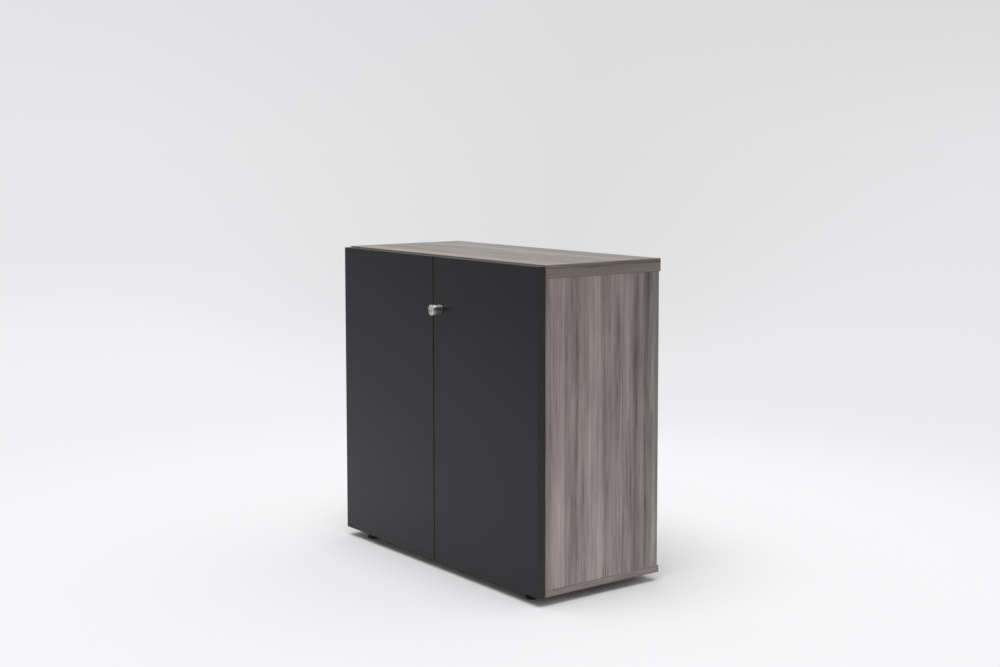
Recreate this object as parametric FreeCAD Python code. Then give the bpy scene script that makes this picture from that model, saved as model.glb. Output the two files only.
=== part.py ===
"""Low two-door office cupboard (office credenza).

Wood-decor carcass with a thick top, two full-overlay doors on concealed hinges, an adjustable shelf,
a turning knob lock with a hooked rod, and four levelling feet.
Frame: +X to the right, +Y to the rear, +Z up, origin on the floor at the middle of the footprint.
All lengths are in millimetres.
"""
import FreeCAD, Part
import math
import os

V = FreeCAD.Vector

# ---------------------------------------------------------------- driving dimensions
width = 800.0             # top and bottom, end to end
top_depth = 336.0         # top and bottom, front edge to rear edge
height = 752.0            # floor to the upper face of the top
foot_gap = 20.0           # floor to the underside of the bottom
top_t = 30.0              # top board
bottom_t = 16.0           # bottom board
side_t = 16.0             # side boards
side_setback = 4.0        # the sides end this far in front of the top's rear edge
back_t = 8.0              # back board
back_inset = 8.0          # rear face of the back, in front of the sides' rear edge
groove_depth = 7.0        # groove that holds the back
shelf_t = 16.0            # shelf board
shelf_setback = 34.0      # shelf's front edge behind the carcass front
band_t = 2.0              # edge band
band_round = 1.5          # rounding of an edge band's long edges
band_round_limit = 0.9    # share of a band's thickness that its rounding never passes

door_t = 18.0             # door board
door_gap = 2.0            # between the carcass front and the doors
door_side_reveal = 1.0    # door edge inside the side's outer face
door_top_reveal = 3.0     # door edge below the top's upper face
door_bottom_reveal = 1.0  # door edge above the bottom's lower face
centre_gap = 3.0          # between the two doors

hinge_end_distance = 100.0    # hinge axis height from a door's end
pivot_from_edge = 7.0         # hinge pin from the door's edge
pivot_depth = 11.2            # hinge pin from the door's inner face
cup_bore_r = 17.5
cup_bore_depth = 15.0
cup_edge_distance = 3.0       # bore wall from the door's edge
cup_wall = 0.8
cup_flange_t = 1.2
cup_screw_offset = 9.5        # screws from the cup's centre, away from the edge
cup_screw_half = 22.5         # screws above and below the cup's centre
cup_ear_wall = 6.0            # round a cup's screws
ear_round = 3.0               # corners of screwed ears and keepers
cup_rim = 2.5                 # flange beyond the cup
hinge_pin_r = 1.5
eye_r = 2.6                   # eye of the arm round the pin
neck_half = 3.2               # half width of the arm's nose
neck_t = 2.5                  # thickness of the arm's nose
neck_reach = 16.0             # far face of the nose from the pin
arm_half = 9.0
arm_wall = 1.5
arm_round = 1.2               # long edges of the arm
arm_height = 10.0             # arm's outer face from the mounting plate's wings
arm_length = 56.0
arm_start = 4.0               # arm's front end behind the carcass front
saddle_start = 12.0           # plate's saddle behind the arm's front wall
plate_t = 2.0
plate_wing_half = 24.0
plate_wing_depth = 18.0
wing_round = 4.0              # corners of a plate's wings
plate_screw_half = 16.0       # plate screws above and below the hinge's height
plate_line = 37.0             # line of the plate screws behind the carcass front

knob_x = 30.0                 # knob axis right of the centre line
knob_drop = 126.0             # knob axis below the top's upper face
knob_r = 12.75                # head
knob_body_r = 12.2
knob_out = 26.0               # knob's face in front of the door
knob_rim = 2.0                # raised rim of the knob's face, width
knob_rim_depth = 1.0
knob_head_t = 2.5
knob_round = 0.8              # rounded edges of the knob's head and body
knob_groove_w = 2.0           # turned groove between head and body
knob_groove_r = 10.6
collar_r = 11.5               # washer between the knob and the door
collar_t = 1.5
collar_round = 0.4
cylinder_r = 8.0
cylinder_sunk = 0.4           # key cylinder's face behind the knob's rim
cylinder_l = 15.0
keyway_w = 1.6
keyway_h = 7.0
keyway_depth = 9.0
spindle_r = 4.5
spindle_hole_r = 8.0          # hole through the door
lock_w = 36.0
lock_h = 56.0
lock_d = 17.0
lock_ear = 8.0
lock_round = 2.0
ear_t = 2.0                   # ears of the lock and of the rod guides
rod_r = 4.0
rod_behind_door = 10.0        # rod's axis behind the door's inner face
rod_end_gap = 6.0             # rod's end from the top and the bottom
hook_reach = 18.0
hook_half = 3.0
hook_h = 8.0
hook_from_end = 2.0
guide_w = 18.0
guide_h = 12.0
guide_from_end = 150.0        # rod guides from the door's ends
hook_hub_wall = 2.5
guide_ear = 8.0
guide_wall = 3.0              # behind the rod
keeper_w = 12.0
keeper_t = 2.5
keeper_depth = 26.0
keeper_drop = 18.0
keeper_side = 10.0            # keeper's near end from the rod's axis
keeper_screw_at = 17.0        # keeper's screw behind its front

head_r = 3.8                  # every screw's head
head_t = 1.5
recess_r = 1.6
recess_depth = 1.0
plate_screw_r = 2.0
plate_screw_l = 12.0
arm_screw_r = 2.5
arm_screw_short = 1.0         # arm screw's end above the side
cup_screw_r = 1.8
cup_screw_l = 12.0
lock_screw_r = 1.8
lock_screw_l = 10.0
keeper_screw_r = 1.8
keeper_screw_l = 10.0

foot_inset_x = 70.0           # foot axis from the bottom's end
foot_inset_front = 18.0       # front foot axis from the bottom's front edge
foot_inset_rear = 28.0        # rear foot axis from the bottom's rear edge
foot_r = 15.0
foot_plate_t = 8.0
foot_plate_round = 2.0
foot_shoulder_r = 10.0
foot_shoulder_wall = 2.0
foot_spindle_r = 4.0
hex_key_r = 2.0               # drive hole in the spindle's end
hex_key_depth = 5.0
socket_r = 5.5
socket_flange_r = 9.0
socket_flange_t = 2.0

dowel_r = 4.0
dowel_in_board = 10.0
dowel_in_side = 20.0
dowel_from_edge = 50.0
cam_r = 7.5
cam_t = 12.5
cam_from_end = 24.0           # cam axis from the end of the side
cam_from_edge = 82.0          # cam axis from the side's front and rear edges
cam_bolt_r = 3.0
cam_bolt_in_board = 10.0
cam_slot_depth = 2.0
cam_slot_half_w = 0.8
cam_slot_half_l = 5.0
line_hole_r = 2.5
line_hole_depth = 9.0
line_pitch = 32.0
line_steps = 4                # rows run this many holes above and below the shelf's
pin_head_r = 3.5
pin_head_l = 8.0
bumper_r = 4.0
bumper_x = 60.0               # bumpers from the centre line
bumper_clear = 0.3

# ---------------------------------------------------------------- named clearances
run_fit = 0.05                # radial, between parts that turn in each other
slip = 0.1                    # fittings in their bores
play = 0.25                   # boards in grooves and between fittings
shelf_play = 1.0              # shelf to sides and back

# ---------------------------------------------------------------- derived places
x_side_out = width / 2
x_side_in = x_side_out - side_t
overall_depth = top_depth + door_gap + door_t + knob_out
y_front = -overall_depth / 2 + door_gap + door_t + knob_out    # carcass front plane
y_rear = y_front + top_depth
y_side_rear = y_rear - side_setback
y_back1 = y_side_rear - back_inset
y_back0 = y_back1 - back_t
z_bottom0 = foot_gap
z_bottom1 = foot_gap + bottom_t
z_top0 = height - top_t
z_mid = (z_bottom1 + z_top0) / 2
y_door_in = y_front - door_gap
y_door_out = y_door_in - door_t
z_door0 = z_bottom0 + door_bottom_reveal
z_door1 = height - door_top_reveal
x_door_edge = x_side_out - door_side_reveal
z_pins = z_mid - shelf_t / 2 - pin_head_r
z_hinges = {"lower": z_door0 + hinge_end_distance, "upper": z_door1 - hinge_end_distance}
pivot_x = x_door_edge - pivot_from_edge
pivot_y = y_door_in - pivot_depth
cup_x = x_door_edge - cup_edge_distance - cup_bore_r
knob_z = height - knob_drop
rod_y = y_door_in + rod_behind_door
z_rod0 = z_bottom1 + rod_end_gap
z_rod1 = z_top0 - rod_end_gap
y_knob_face = y_door_out - knob_out
RIGHT = V(1, 0, 0)
BACK = V(0, 1, 0)
UP = V(0, 0, 1)


# ---------------------------------------------------------------- helpers
os.makedirs("parts", exist_ok=True)


def block(x0, x1, y0, y1, z0, z1):
    """A box between two opposite corners."""
    return Part.makeBox(x1 - x0, y1 - y0, z1 - z0, V(x0, y0, z0))


def rounded_block(x0, x1, y0, y1, z0, z1, axis, radius):
    """A box whose four edges along one axis are rounded."""
    shape = block(x0, x1, y0, y1, z0, z1)
    along = [e for e in shape.Edges if abs(e.tangentAt(e.FirstParameter).dot(axis)) > 0.99]
    return shape.makeFillet(radius, along)


def rod(r, start, direction, length):
    """A round bar from a start point along a unit direction."""
    return Part.makeCylinder(r, length, V(*start), direction)


def left(shape):
    """The left-hand twin of a right-hand shape."""
    return shape.mirror(V(0, 0, 0), V(1, 0, 0))


def both_sides(shapes):
    """Right-hand shapes and their left-hand twins."""
    return list(shapes) + [left(s) for s in shapes]


def cut_all(shape, tools):
    """Take every tool out of a shape."""
    return shape.cut(Part.makeCompound(tools)) if tools else shape


def save(name, *solids):
    """Write one node: a solid, or a group of like solids."""
    shape = solids[0] if len(solids) == 1 else Part.makeCompound(list(solids))
    shape.exportStep("parts/" + name + ".step")


def screw(start, direction, shank_r, length):
    """Flat round head and shank; start is the seat of the head, direction runs into the work."""
    seat = V(*start)
    head = Part.makeCylinder(head_r, head_t, seat - direction * head_t, direction)
    shank = Part.makeCylinder(shank_r, length, seat, direction)
    recess = Part.makeCylinder(recess_r, recess_depth, seat - direction * head_t, direction)
    return head.fuse(shank).cut(recess).removeSplitter()


def strip(x0, x1, y0, y1, z0, z1, outward):
    """An edge band, rounded along the two long edges of its outer face."""
    shape = block(x0, x1, y0, y1, z0, z1)
    centre = shape.BoundBox.Center
    outer = [v * c for v, c in zip(outward, (shape.BoundBox.XLength / 2, shape.BoundBox.YLength / 2,
                                             shape.BoundBox.ZLength / 2))]
    face_at = centre + V(*outer)
    longest = max(shape.BoundBox.XLength, shape.BoundBox.YLength, shape.BoundBox.ZLength)
    edges = []
    for edge in shape.Edges:
        on_face = abs((edge.CenterOfMass - face_at).dot(V(*outward))) < 1e-6
        if on_face and abs(edge.Length - longest) < 1e-6:
            edges.append(edge)
    return shape.makeFillet(min(band_round, band_t * band_round_limit), edges)


def board_bands(x0, x1, y0, y1, z0, z1, flat_axis):
    """Four bands round a board: the first pair runs end to end, the second lies between."""
    b = band_t
    if flat_axis == "z":
        return [strip(x0, x1, y0, y0 + b, z0, z1, (0, -1, 0)),
                strip(x0, x1, y1 - b, y1, z0, z1, (0, 1, 0)),
                strip(x0, x0 + b, y0 + b, y1 - b, z0, z1, (-1, 0, 0)),
                strip(x1 - b, x1, y0 + b, y1 - b, z0, z1, (1, 0, 0))]
    return [strip(x0, x0 + b, y0, y1, z0, z1, (-1, 0, 0)),
            strip(x1 - b, x1, y0, y1, z0, z1, (1, 0, 0)),
            strip(x0 + b, x1 - b, y0, y1, z0, z0 + b, (0, 0, -1)),
            strip(x0 + b, x1 - b, y0, y1, z1 - b, z1, (0, 0, 1))]


# ---------------------------------------------------------------- carcass joints (dowels and cams)
def joint_places():
    """Dowel and cam places along Y, the same at each end of a side."""
    dowels = (y_front + dowel_from_edge, y_side_rear - dowel_from_edge)
    cams = (y_front + cam_from_edge, y_side_rear - cam_from_edge)
    return dowels, cams


def carcass_joint(z_face, up):
    """Right-hand dowels, cams and bolts at one end of the side; up is +1 under the top, -1 over the bottom."""
    dowel_y, cam_y = joint_places()
    x_mid = x_side_in + side_t / 2
    toward_side = V(0, 0, -up)
    dowels = [rod(dowel_r, (x_mid, y, z_face + up * dowel_in_board), toward_side,
                  dowel_in_board + dowel_in_side) for y in dowel_y]
    bolts = [rod(cam_bolt_r, (x_mid, y, z_face + up * cam_bolt_in_board), toward_side,
                 cam_bolt_in_board + cam_from_end) for y in cam_y]
    z_cam = z_face - up * cam_from_end
    cams = [rod(cam_r, (x_side_in, y, z_cam), V(1, 0, 0), cam_t) for y in cam_y]
    cam_solids = [cam.cut(rod(cam_bolt_r + slip, (x_mid, y, z_cam - up * slip), V(0, 0, up), cam_r * 2))
                  .cut(screw_slot(y, z_cam)) for cam, y in zip(cams, cam_y)]
    bores = [rod(dowel_r + slip, (x_mid, y, z_face + up * (dowel_in_board + slip)), toward_side,
                 dowel_in_board + dowel_in_side + 2 * slip) for y in dowel_y]
    bores += [rod(cam_bolt_r + slip, (x_mid, y, z_face + up * (cam_bolt_in_board + slip)), toward_side,
                  cam_bolt_in_board + cam_from_end + slip) for y in cam_y]
    pockets = [rod(cam_r + slip, (x_side_in, y, z_cam), V(1, 0, 0), cam_t + slip) for y in cam_y]
    return dowels, bolts, cam_solids, bores, pockets


def screw_slot(y, z):
    """Driver slot across a cam's face."""
    return block(x_side_in, x_side_in + cam_slot_depth, y - cam_slot_half_l, y + cam_slot_half_l,
                 z - cam_slot_half_w, z + cam_slot_half_w)


top_joint = carcass_joint(z_top0, 1)
bottom_joint = carcass_joint(z_bottom1, -1)

# ---------------------------------------------------------------- back and its grooves
back_panel = block(-x_side_in - groove_depth + play, x_side_in + groove_depth - play, y_back0, y_back1,
                   z_bottom1 - groove_depth + play, z_top0 + groove_depth - play)
groove = block(-x_side_in - groove_depth, x_side_in + groove_depth, y_back0 - play, y_back1 + play,
               z_bottom1 - groove_depth, z_top0 + groove_depth)


# ---------------------------------------------------------------- levelling feet
def foot_axes():
    """Foot axes in plan, by name."""
    xs = {"left": -x_side_out + foot_inset_x, "right": x_side_out - foot_inset_x}
    ys = {"front": y_front + foot_inset_front, "rear": y_rear - foot_inset_rear}
    return {fy + "_" + fx: (x, y) for fy, y in ys.items() for fx, x in xs.items()}


def foot(x, y):
    """Foot plate with a domed shoulder and its spindle."""
    plate = rod(foot_r, (x, y, 0), UP, foot_plate_t)
    upper_edge = [e for e in plate.Edges if abs(e.CenterOfMass.z - foot_plate_t) < 1e-6]
    plate = plate.makeFillet(foot_plate_round, upper_edge)
    shoulder_h = foot_gap - socket_flange_t - foot_plate_t - play
    shoulder = Part.makeCone(foot_shoulder_r, foot_spindle_r + foot_shoulder_wall, shoulder_h,
                             V(x, y, foot_plate_t), UP)
    z_end = z_bottom1 - play
    spindle = rod(foot_spindle_r, (x, y, foot_plate_t), UP, z_end - foot_plate_t)
    hex_key = rod(hex_key_r, (x, y, z_end - hex_key_depth), UP, hex_key_depth)
    return plate.fuse(shoulder).fuse(spindle).cut(hex_key).removeSplitter()


def socket(x, y):
    """Threaded socket through the bottom board, with its flange underneath."""
    barrel = rod(socket_r, (x, y, z_bottom0), UP, bottom_t)
    flange = rod(socket_flange_r, (x, y, z_bottom0 - socket_flange_t), UP, socket_flange_t)
    hole = rod(foot_spindle_r + run_fit, (x, y, z_bottom0 - socket_flange_t), UP, bottom_t + socket_flange_t)
    return barrel.fuse(flange).cut(hole).removeSplitter()


# ---------------------------------------------------------------- concealed hinges (right-hand shapes)
x_wing = x_side_in - plate_t          # face of the plate's wings
x_arm = x_wing - arm_height           # outer face of the arm
y_plate_line = y_front + plate_line
y_arm0 = y_front + arm_start
y_arm1 = y_arm0 + arm_length


def plate_screw_axes(z):
    """Heights of a plate's two wood screws."""
    return [z - plate_screw_half, z + plate_screw_half]


def hinge_plate(z):
    """Mounting plate: two wings on the side and a raised saddle under the arm."""
    wings = rounded_block(x_wing, x_side_in, y_plate_line - plate_wing_depth / 2,
                          y_plate_line + plate_wing_depth / 2, z - plate_wing_half, z + plate_wing_half,
                          RIGHT, wing_round)
    saddle_half = arm_half - arm_wall - play
    saddle = block(x_arm + arm_wall, x_side_in, y_arm0 + arm_wall + saddle_start, y_arm1 - arm_wall - play,
                   z - saddle_half, z + saddle_half)
    body = wings.fuse(saddle).removeSplitter()
    holes = [rod(plate_screw_r, (x_wing, y_plate_line, zs), V(1, 0, 0), plate_t) for zs in plate_screw_axes(z)]
    holes.append(rod(arm_screw_r, (x_arm, y_plate_line, z), V(1, 0, 0), arm_height + plate_t))
    return cut_all(body, holes)


def hinge_plate_screws(z):
    """Two wood screws through the wings and one machine screw through the arm."""
    wood = [screw((x_wing, y_plate_line, zs), V(1, 0, 0), plate_screw_r, plate_screw_l)
            for zs in plate_screw_axes(z)]
    return wood + [screw((x_arm, y_plate_line, z), V(1, 0, 0), arm_screw_r,
                         arm_height + plate_t - arm_screw_short)]


def hinge_arm(z):
    """Channel over the saddle, with a bent nose that reaches round the pin in the cup."""
    channel = rounded_block(x_arm, x_wing - play, y_arm0, y_arm1, z - arm_half, z + arm_half, RIGHT, arm_round)
    pocket = block(x_arm + arm_wall, x_wing, y_arm0 + arm_wall, y_arm1 - arm_wall,
                   z - arm_half + arm_wall, z + arm_half - arm_wall)
    x_far = pivot_x - neck_reach
    across = block(x_far, pivot_x, pivot_y - neck_t / 2, pivot_y + neck_t / 2, z - neck_half, z + neck_half)
    down = block(x_far, x_far + neck_t, pivot_y - neck_t / 2, y_arm0 + arm_wall, z - neck_half, z + neck_half)
    eye = rod(eye_r, (pivot_x, pivot_y, z - neck_half), UP, 2 * neck_half)
    body = channel.cut(pocket).fuse([across, down, eye]).removeSplitter()
    pin_hole = rod(hinge_pin_r + run_fit, (pivot_x, pivot_y, z - neck_half), UP, 2 * neck_half)
    return cut_all(body, [pin_hole, rod(arm_screw_r + slip, (x_arm, y_plate_line, z), V(1, 0, 0), arm_height)])


def hinge_cup(z):
    """Pressed cup in the door with a flange, two screw ears and a cheek each side of the arm's eye."""
    outer_r = cup_bore_r - slip
    inner_r = outer_r - cup_wall
    seat = (cup_x, y_door_in, z)
    outer = rod(outer_r, seat, V(0, -1, 0), cup_bore_depth - slip)
    inner = rod(inner_r, (cup_x, y_door_in + cup_flange_t, z), V(0, -1, 0),
                cup_flange_t + cup_bore_depth - slip - cup_wall)
    rim = rod(outer_r + cup_rim, seat, BACK, cup_flange_t)
    ears = rounded_block(cup_x - cup_screw_offset - cup_ear_wall, cup_x - cup_screw_offset + cup_ear_wall,
                         y_door_in, y_door_in + cup_flange_t,
                         z - cup_screw_half - cup_ear_wall, z + cup_screw_half + cup_ear_wall,
                         BACK, ear_round)
    shell = outer.fuse([rim, ears]).cut(inner)
    trim = block(pivot_x + eye_r, x_side_out, y_door_in, y_door_in + cup_flange_t,
                 z - 2 * cup_bore_r, z + 2 * cup_bore_r)
    shell = shell.cut(trim)
    cheek = rod(eye_r, (pivot_x, pivot_y, z - cup_bore_r), UP, 2 * cup_bore_r).common(outer)
    gap = block(pivot_x - cup_bore_r, pivot_x + cup_bore_r, pivot_y - cup_bore_r, pivot_y + cup_bore_r,
                z - neck_half - play, z + neck_half + play)
    shell = shell.fuse(cheek.cut(gap)).removeSplitter()
    holes = [rod(cup_screw_r, (cup_x - cup_screw_offset, y_door_in, zs), BACK, cup_flange_t)
             for zs in cup_screw_axes(z)]
    holes.append(rod(hinge_pin_r, (pivot_x, pivot_y, z - pin_half), UP, 2 * pin_half))
    return cut_all(shell, holes)


pin_off_centre = pivot_x - cup_x + hinge_pin_r      # far side of the pin from the cup's axis
pin_half = math.sqrt((cup_bore_r - slip - cup_wall / 2) ** 2 - pin_off_centre ** 2)


def cup_screw_axes(z):
    """Heights of a cup's two screws."""
    return [z - cup_screw_half, z + cup_screw_half]


def hinge_pin(z):
    """Pin across the cup, through both cheeks and the arm's eye."""
    return rod(hinge_pin_r, (pivot_x, pivot_y, z - pin_half), UP, 2 * pin_half)


def cup_screws(z):
    """Two wood screws through the cup's ears."""
    seat_y = y_door_in + cup_flange_t
    return [screw((cup_x - cup_screw_offset, seat_y, zs), V(0, -1, 0), cup_screw_r, cup_screw_l)
            for zs in cup_screw_axes(z)]


def cup_bores(z):
    """What the hinge takes out of the door."""
    bores = [rod(cup_bore_r, (cup_x, y_door_in, z), V(0, -1, 0), cup_bore_depth)]
    bores += [rod(cup_screw_r, (cup_x - cup_screw_offset, y_door_in, zs), V(0, -1, 0),
                  cup_screw_l - cup_flange_t) for zs in cup_screw_axes(z)]
    return bores


# ---------------------------------------------------------------- keepers of the rod lock
x_keeper1 = knob_x - keeper_side
x_keeper0 = x_keeper1 - keeper_w


def keeper_screw_seat(z):
    """Where a keeper's screw head sits."""
    return ((x_keeper0 + x_keeper1) / 2, y_front + keeper_screw_at, z)


def keeper(z_face, up):
    """Angle plate on the board's face z_face; up is +1 under the top, -1 on the bottom."""
    z_far = z_face - up * keeper_drop
    z_foot = z_face - up * keeper_t
    upright = block(x_keeper0, x_keeper1, y_front, y_front + keeper_t, min(z_face, z_far), max(z_face, z_far))
    base = block(x_keeper0, x_keeper1, y_front, y_front + keeper_depth, min(z_face, z_foot), max(z_face, z_foot))
    hole = rod(keeper_screw_r, keeper_screw_seat(z_foot), V(0, 0, up), keeper_t)
    return upright.fuse(base).removeSplitter().cut(hole)


def keeper_screw(z_face, up):
    """The screw that holds a keeper."""
    return screw(keeper_screw_seat(z_face - up * keeper_t), V(0, 0, up), keeper_screw_r, keeper_screw_l)


def keeper_bore(z_face, up):
    """That screw's hole in the board."""
    return rod(keeper_screw_r, keeper_screw_seat(z_face), V(0, 0, up), keeper_screw_l - keeper_t)


# ---------------------------------------------------------------- boards
side_tools = [groove] + top_joint[3] + top_joint[4] + bottom_joint[3] + bottom_joint[4]
for z_hinge in z_hinges.values():
    side_tools += [rod(plate_screw_r, (x_side_in, y_plate_line, zs), V(1, 0, 0), plate_screw_l - plate_t)
                   for zs in plate_screw_axes(z_hinge)]
line_rows = (y_plate_line, y_back0 - plate_line)
for row_y in line_rows:
    for step in range(-line_steps, line_steps + 1):
        side_tools.append(rod(line_hole_r, (x_side_in, row_y, z_pins + step * line_pitch), V(1, 0, 0),
                              line_hole_depth))
side_core = block(x_side_in, x_side_out, y_front + band_t, y_side_rear - band_t, z_bottom1, z_top0)
right_side = cut_all(side_core, side_tools)
save("right_side_panel", right_side)
save("left_side_panel", left(right_side))
side_front_band = strip(x_side_in, x_side_out, y_front, y_front + band_t, z_bottom1, z_top0, (0, -1, 0))
side_rear_band = strip(x_side_in, x_side_out, y_side_rear - band_t, y_side_rear, z_bottom1, z_top0, (0, 1, 0))
save("side_edge_bands", side_front_band, side_rear_band, left(side_front_band), left(side_rear_band))

top_core = block(-x_side_out + band_t, x_side_out - band_t, y_front + band_t, y_rear - band_t, z_top0, height)
save("top_panel", cut_all(top_core, [groove, keeper_bore(z_top0, 1)] + both_sides(top_joint[3])))
save("top_edge_bands", *board_bands(-x_side_out, x_side_out, y_front, y_rear, z_top0, height, "z"))

bottom_core = block(-x_side_out + band_t, x_side_out - band_t, y_front + band_t, y_rear - band_t,
                    z_bottom0, z_bottom1)
socket_bores = [rod(socket_r + slip, (x, y, z_bottom0), UP, bottom_t) for x, y in foot_axes().values()]
save("bottom_panel", cut_all(bottom_core, [groove, keeper_bore(z_bottom1, -1)] + both_sides(bottom_joint[3])
                            + socket_bores))
save("bottom_edge_bands", *board_bands(-x_side_out, x_side_out, y_front, y_rear, z_bottom0, z_bottom1, "z"))
save("back_panel", back_panel)

save("dowels", *both_sides(top_joint[0] + bottom_joint[0]))
save("cam_bolts", *both_sides(top_joint[1] + bottom_joint[1]))
save("cam_housings", *both_sides(top_joint[2] + bottom_joint[2]))

# shelf on four pins
x_shelf = x_side_in - shelf_play
y_shelf0 = y_front + shelf_setback
y_shelf1 = y_back0 - shelf_play
z_shelf0 = z_pins + pin_head_r
save("shelf", block(-x_shelf, x_shelf, y_shelf0 + band_t, y_shelf1, z_shelf0, z_shelf0 + shelf_t))
save("shelf_edge_band", strip(-x_shelf, x_shelf, y_shelf0, y_shelf0 + band_t, z_shelf0, z_shelf0 + shelf_t,
                              (0, -1, 0)))
shelf_pins = []
for row_y in line_rows:
    shank = rod(line_hole_r, (x_side_in, row_y, z_pins), V(1, 0, 0), line_hole_depth - slip)
    head = rod(pin_head_r, (x_side_in - pin_head_l, row_y, z_pins), V(1, 0, 0), pin_head_l)
    shelf_pins.append(shank.fuse(head).removeSplitter())
save("shelf_pins", *both_sides(shelf_pins))

# soft dots on the front edges of the top and the bottom
bumper_l = door_gap - bumper_clear
bumpers = [rod(bumper_r, (bumper_x, y_front, z), V(0, -1, 0), bumper_l)
           for z in (z_top0 + bottom_t / 2, (z_bottom0 + z_bottom1) / 2)]
save("door_bumpers", *both_sides(bumpers))

# ---------------------------------------------------------------- doors
def door_board(tools):
    """Right-hand door board inside its edge bands."""
    core = block(centre_gap / 2 + band_t, x_door_edge - band_t, y_door_out, y_door_in,
                 z_door0 + band_t, z_door1 - band_t)
    return cut_all(core, tools)


hinge_bores = [tool for z in z_hinges.values() for tool in cup_bores(z)]
door_bands = board_bands(centre_gap / 2, x_door_edge, y_door_out, y_door_in, z_door0, z_door1, "y")
save("left_door", left(door_board(hinge_bores)))
save("left_door_edge_bands", *[left(b) for b in door_bands])
save("right_door_edge_bands", *door_bands)

for place, z in z_hinges.items():
    for hand, turn in (("right", lambda s: s), ("left", left)):
        stem = hand + "_" + place + "_hinge"
        save(stem + "_plate", turn(hinge_plate(z)))
        save(stem + "_arm", turn(hinge_arm(z)))
        save(stem + "_cup", turn(hinge_cup(z)))
for hand, turn in (("right", lambda s: s), ("left", left)):
    save(hand + "_hinge_pins", *[turn(hinge_pin(z)) for z in z_hinges.values()])
    save(hand + "_cup_screws", *[turn(s) for z in z_hinges.values() for s in cup_screws(z)])
save("hinge_plate_screws", *both_sides([s for z in z_hinges.values() for s in hinge_plate_screws(z)]))

# ---------------------------------------------------------------- knob lock
z_lock0 = knob_z - lock_h / 2
z_lock1 = knob_z + lock_h / 2
lock_ears_x = lock_w / 2 + lock_ear / 2
lock_screws_at = [(knob_x - lock_ears_x, knob_z), (knob_x + lock_ears_x, knob_z)]
z_guides = [z_door0 + guide_from_end, z_mid + guide_h]
guide_screws_at = [(knob_x + s * (guide_w + guide_ear) / 2, z) for z in z_guides for s in (-1, 1)]
ear_screws_at = lock_screws_at + guide_screws_at


def lock_screw_bores():
    """Screw holes of the lock and the rod guides in the door."""
    return [rod(lock_screw_r, (x, y_door_in, z), V(0, -1, 0), lock_screw_l - ear_t)
            for x, z in ear_screws_at]


spindle_hole = rod(spindle_hole_r, (knob_x, y_door_out, knob_z), BACK, door_t)
save("right_door", door_board(hinge_bores + [spindle_hole] + lock_screw_bores()))

rod_bore_r = rod_r + run_fit
housing = block(knob_x - lock_w / 2, knob_x + lock_w / 2, y_door_in, y_door_in + lock_d, z_lock0, z_lock1)
rear_edges = [e for e in housing.Edges if abs(e.CenterOfMass.y - (y_door_in + lock_d)) < 1e-6]
housing = housing.makeFillet(lock_round, rear_edges)
ears = rounded_block(knob_x - lock_w / 2 - lock_ear, knob_x + lock_w / 2 + lock_ear, y_door_in,
                     y_door_in + ear_t, knob_z - lock_ear, knob_z + lock_ear, BACK, ear_round)
spindle_end = rod_y - rod_r - play       # the spindle stops just short of the rod
housing = housing.fuse(ears).removeSplitter()
housing = cut_all(housing, [rod(rod_bore_r, (knob_x, rod_y, z_lock0), UP, lock_h),
                            rod(spindle_r + run_fit, (knob_x, y_door_in, knob_z), BACK,
                                spindle_end + play - y_door_in)]
                  + [rod(lock_screw_r, (x, y_door_in, z), BACK, ear_t) for x, z in lock_screws_at])
save("lock_housing", housing)


def turned(radius, y0, y1, edge_round):
    """Round body on the knob's axis with its two end edges rounded."""
    body = rod(radius, (knob_x, y0, knob_z), BACK, y1 - y0)
    circles = {e.hashCode(): e for e in body.Edges if e.Curve.TypeId == "Part::GeomCircle"}
    return body.makeFillet(edge_round, list(circles.values()))


def on_axis(radius, y0, y1):
    """Plain round body on the knob's axis."""
    return rod(radius, (knob_x, y0, knob_z), BACK, y1 - y0)


y_collar = y_door_out - collar_t
y_knob_back = y_collar - play
y_cylinder = y_knob_face + cylinder_sunk
y_cylinder_end = y_cylinder + cylinder_l
y_head_end = y_knob_face + knob_head_t
y_body = y_head_end + knob_groove_w
collar = turned(collar_r, y_collar, y_door_out, collar_round)
save("lock_collar", collar.cut(on_axis(spindle_r + run_fit, y_collar, y_door_out)))

knob = turned(knob_r, y_knob_face, y_head_end, knob_round)
knob = knob.fuse([on_axis(knob_groove_r, y_head_end, y_body), turned(knob_body_r, y_body, y_knob_back, knob_round)])
save("lock_knob", cut_all(knob.removeSplitter(),
                          [on_axis(knob_r - knob_rim, y_knob_face, y_knob_face + knob_rim_depth),
                           on_axis(cylinder_r, y_knob_face, y_cylinder_end),
                           on_axis(spindle_r, y_cylinder_end, y_knob_back)]))
keyway = block(knob_x - keyway_w / 2, knob_x + keyway_w / 2, y_cylinder, y_cylinder + keyway_depth,
               knob_z - keyway_h / 2, knob_z + keyway_h / 2)
save("key_cylinder", on_axis(cylinder_r, y_cylinder, y_cylinder_end).cut(keyway))
save("lock_spindle", on_axis(spindle_r, y_cylinder_end, spindle_end))

z_hooks = (z_rod0 + hook_from_end, z_rod1 - hook_from_end - hook_h)
lock_rod = rod(rod_r, (knob_x, rod_y, z_rod0), UP, z_rod1 - z_rod0)
hooks = []
for z in z_hooks:
    tongue = block(knob_x - hook_half, knob_x + hook_half, rod_y, rod_y + hook_reach - hook_half, z, z + hook_h)
    tip = rod(hook_half, (knob_x, rod_y + hook_reach - hook_half, z), UP, hook_h)
    hub = rod(rod_r + hook_hub_wall, (knob_x, rod_y, z), UP, hook_h)
    hooks.append(tongue.fuse([tip, hub]).removeSplitter()
                 .cut(rod(rod_r, (knob_x, rod_y, z), UP, hook_h)))
save("lock_rod", lock_rod)
save("lock_hooks", *hooks)

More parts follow.
